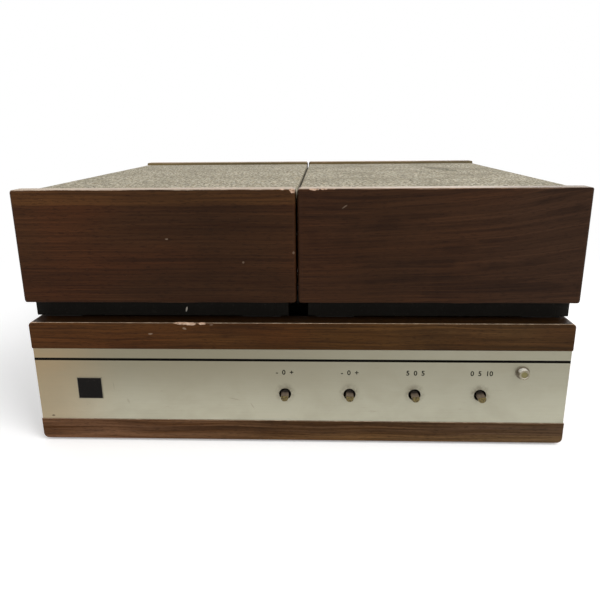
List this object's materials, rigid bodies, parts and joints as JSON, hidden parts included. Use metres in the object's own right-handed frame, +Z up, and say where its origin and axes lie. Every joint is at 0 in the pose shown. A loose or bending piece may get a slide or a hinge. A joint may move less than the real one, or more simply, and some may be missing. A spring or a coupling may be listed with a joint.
{
  "type": "reel-to-reel tape recorder",
  "caption": "Walnut tape recorder base with an aluminium control panel and a recessed reel deck, closed by two loudspeaker boxes that lie on its rim.",
  "frame": {"origin": "middle of the overall box, on the floor under the feet", "axes": "+Z up, -Y towards the front panel, +X to the right seen from the front"},
  "size_m": [0.4214, 0.3771, 0.2035],
  "materials": {
    "base_walnut": "satin veneer",
    "speaker_walnut": "satin veneer",
    "hardboard": "raw",
    "black_board": "matt black paint",
    "grille_cloth": "woven tweed",
    "driver_black": "satin",
    "panel_aluminium": "satin anodised",
    "shaft_metal": "dull",
    "bright_chrome": "polished",
    "black_rubber": "matt",
    "plated_steel": "zinc plated",
    "pot_metal": "pressed",
    "circuit_board": "paper laminate",
    "transformer_iron": "lacquered laminations",
    "black_plastic": "fine grained",
    "deck_metal": "brushed",
    "head_metal": "polished",
    "bearing_bronze": "machined",
    "motor_can": "grey paint",
    "tape_brown": "semi-gloss",
    "clear_window": "clear",
    "key_ivory": "gloss",
    "key_red": "gloss",
    "needle_red": "matt",
    "reel_plastic": "smooth"
  },
  "bodies": {
    "base": {"front_board": "base_walnut", "side_boards": "base_walnut", "rear_board": "base_walnut", "bottom_panel": "hardboard", "front_panel": "panel_aluminium", "power_switch": "bright_chrome", "tape_guides": "bright_chrome", "rubber_feet": "black_rubber", "drive_belt": "black_rubber", "control_bracket": "plated_steel", "head_block": "plated_steel", "potentiometers": "pot_metal", "amplifier_board": "circuit_board", "mains_transformer": "transformer_iron", "connector_panel": "black_plastic", "head_cover": "black_plastic", "level_meter": "black_plastic", "tape_counter": "black_plastic", "key_frame": "black_plastic", "deck_plate": "deck_metal", "tape_heads": "head_metal", "capstan_bearing": "bearing_bronze", "drive_motor": "motor_can", "tape": "tape_brown", "meter_window": "clear_window"},
    "treble_control": {"treble_shaft": "shaft_metal"},
    "bass_control": {"bass_shaft": "shaft_metal"},
    "balance_control": {"balance_shaft": "shaft_metal"},
    "volume_control": {"volume_shaft": "shaft_metal"},
    "power_button": {"power_button": "bright_chrome"},
    "supply_spool": {"supply_reel_table": "black_plastic", "supply_reel": "reel_plastic", "supply_tape": "tape_brown"},
    "takeup_spool": {"takeup_reel_table": "black_plastic", "takeup_reel": "reel_plastic", "takeup_tape": "tape_brown"},
    "capstan": {"flywheel": "plated_steel"},
    "motor_rotor": {"motor_pulley": "bearing_bronze"},
    "pinch_arm": {"pinch_arm": "plated_steel"},
    "pinch_roller": {"pinch_roller": "black_rubber"},
    "record_key": {"record_key": "key_red"},
    "rewind_key": {"rewind_key": "key_ivory"},
    "stop_key": {"stop_key": "key_ivory"},
    "play_key": {"play_key": "key_ivory"},
    "forward_key": {"forward_key": "key_ivory"},
    "meter_needle": {"meter_needle": "needle_red"},
    "record_level_knob": {"record_level_knob": "black_plastic"},
    "speed_knob": {"speed_knob": "black_plastic"},
    "left_speaker": {"left_speaker_cheeks": "speaker_walnut", "left_speaker_skirt": "black_board", "left_speaker_back": "black_board", "left_speaker_baffle": "hardboard", "left_speaker_cloth": "grille_cloth", "left_speaker_driver": "driver_black"},
    "right_speaker": {"right_speaker_cheeks": "speaker_walnut", "right_speaker_skirt": "black_board", "right_speaker_back": "black_board", "right_speaker_baffle": "hardboard", "right_speaker_cloth": "grille_cloth", "right_speaker_driver": "driver_black"}
  },
  "joints": [
    {"name": "left_speaker_lift", "type": "slide", "parent": "base", "child": "left_speaker", "axis": [0, 0, 1], "range_m": [0, 0.24]},
    {"name": "right_speaker_lift", "type": "slide", "parent": "base", "child": "right_speaker", "axis": [0, 0, 1], "range_m": [0, 0.24]},
    {"name": "treble_turn", "type": "hinge", "parent": "base", "child": "treble_control", "pos_m": [-0.0105, -0.18855, 0.0428], "axis": [0, 1, 0], "range_deg": [-140, 140]},
    {"name": "bass_turn", "type": "hinge", "parent": "base", "child": "bass_control", "pos_m": [0.0405, -0.18855, 0.0428], "axis": [0, 1, 0], "range_deg": [-140, 140]},
    {"name": "balance_turn", "type": "hinge", "parent": "base", "child": "balance_control", "pos_m": [0.0915, -0.18855, 0.0428], "axis": [0, 1, 0], "range_deg": [-140, 140]},
    {"name": "volume_turn", "type": "hinge", "parent": "base", "child": "volume_control", "pos_m": [0.1425, -0.18855, 0.0428], "axis": [0, 1, 0], "range_deg": [-140, 140]},
    {"name": "power_press", "type": "slide", "parent": "base", "child": "power_button", "axis": [0, 1, 0], "range_m": [0, 0.003], "stiffness_N_per_m": 300, "springref_m": -0.002},
    {"name": "supply_turn", "type": "hinge", "parent": "base", "child": "supply_spool", "pos_m": [-0.092, 0.07255, 0.074], "axis": [0, 0, 1], "continuous": true},
    {"name": "takeup_turn", "type": "hinge", "parent": "base", "child": "takeup_spool", "pos_m": [0.092, 0.07255, 0.074], "axis": [0, 0, 1], "continuous": true},
    {"name": "capstan_turn", "type": "hinge", "parent": "base", "child": "capstan", "pos_m": [0.04, -0.0667, 0.074], "axis": [0, 0, 1], "continuous": true},
    {"name": "motor_turn", "type": "hinge", "parent": "base", "child": "motor_rotor", "pos_m": [-0.045, -0.05145, 0.044], "axis": [0, 0, 1], "continuous": true},
    {"name": "pinch_swing", "type": "hinge", "parent": "base", "child": "pinch_arm", "pos_m": [0.074, -0.09145, 0.074], "axis": [0, 0, -1], "range_deg": [0, 8]},
    {"name": "roller_turn", "type": "hinge", "parent": "pinch_arm", "child": "pinch_roller", "pos_m": [0.03872, -0.08474, 0.074], "axis": [0, 0, 1], "continuous": true},
    {"name": "record_press", "type": "slide", "parent": "base", "child": "record_key", "axis": [0, 0, -1], "range_m": [0, 0.004], "stiffness_N_per_m": 250, "springref_m": -0.003},
    {"name": "rewind_press", "type": "slide", "parent": "base", "child": "rewind_key", "axis": [0, 0, -1], "range_m": [0, 0.004], "stiffness_N_per_m": 250, "springref_m": -0.003},
    {"name": "stop_press", "type": "slide", "parent": "base", "child": "stop_key", "axis": [0, 0, -1], "range_m": [0, 0.004], "stiffness_N_per_m": 250, "springref_m": -0.003},
    {"name": "play_press", "type": "slide", "parent": "base", "child": "play_key", "axis": [0, 0, -1], "range_m": [0, 0.004], "stiffness_N_per_m": 250, "springref_m": -0.003},
    {"name": "forward_press", "type": "slide", "parent": "base", "child": "forward_key", "axis": [0, 0, -1], "range_m": [0, 0.004], "stiffness_N_per_m": 250, "springref_m": -0.003},
    {"name": "needle_swing", "type": "hinge", "parent": "base", "child": "meter_needle", "pos_m": [-0.138, -0.13645, 0.074], "axis": [0, 0, -1], "range_deg": [0, 80]},
    {"name": "record_level_turn", "type": "hinge", "parent": "base", "child": "record_level_knob", "pos_m": [0.138, -0.13145, 0.074], "axis": [0, 0, -1], "range_deg": [-140, 140]},
    {"name": "speed_turn", "type": "hinge", "parent": "base", "child": "speed_knob", "pos_m": [0.138, -0.07345, 0.074], "axis": [0, 0, -1], "range_deg": [-40, 40]}
  ],
  "couplings": [
    {"joint": "takeup_turn", "follows": "supply_turn", "ratio": 1},
    {"joint": "motor_turn", "follows": "capstan_turn", "ratio": 5.6667}
  ]
}
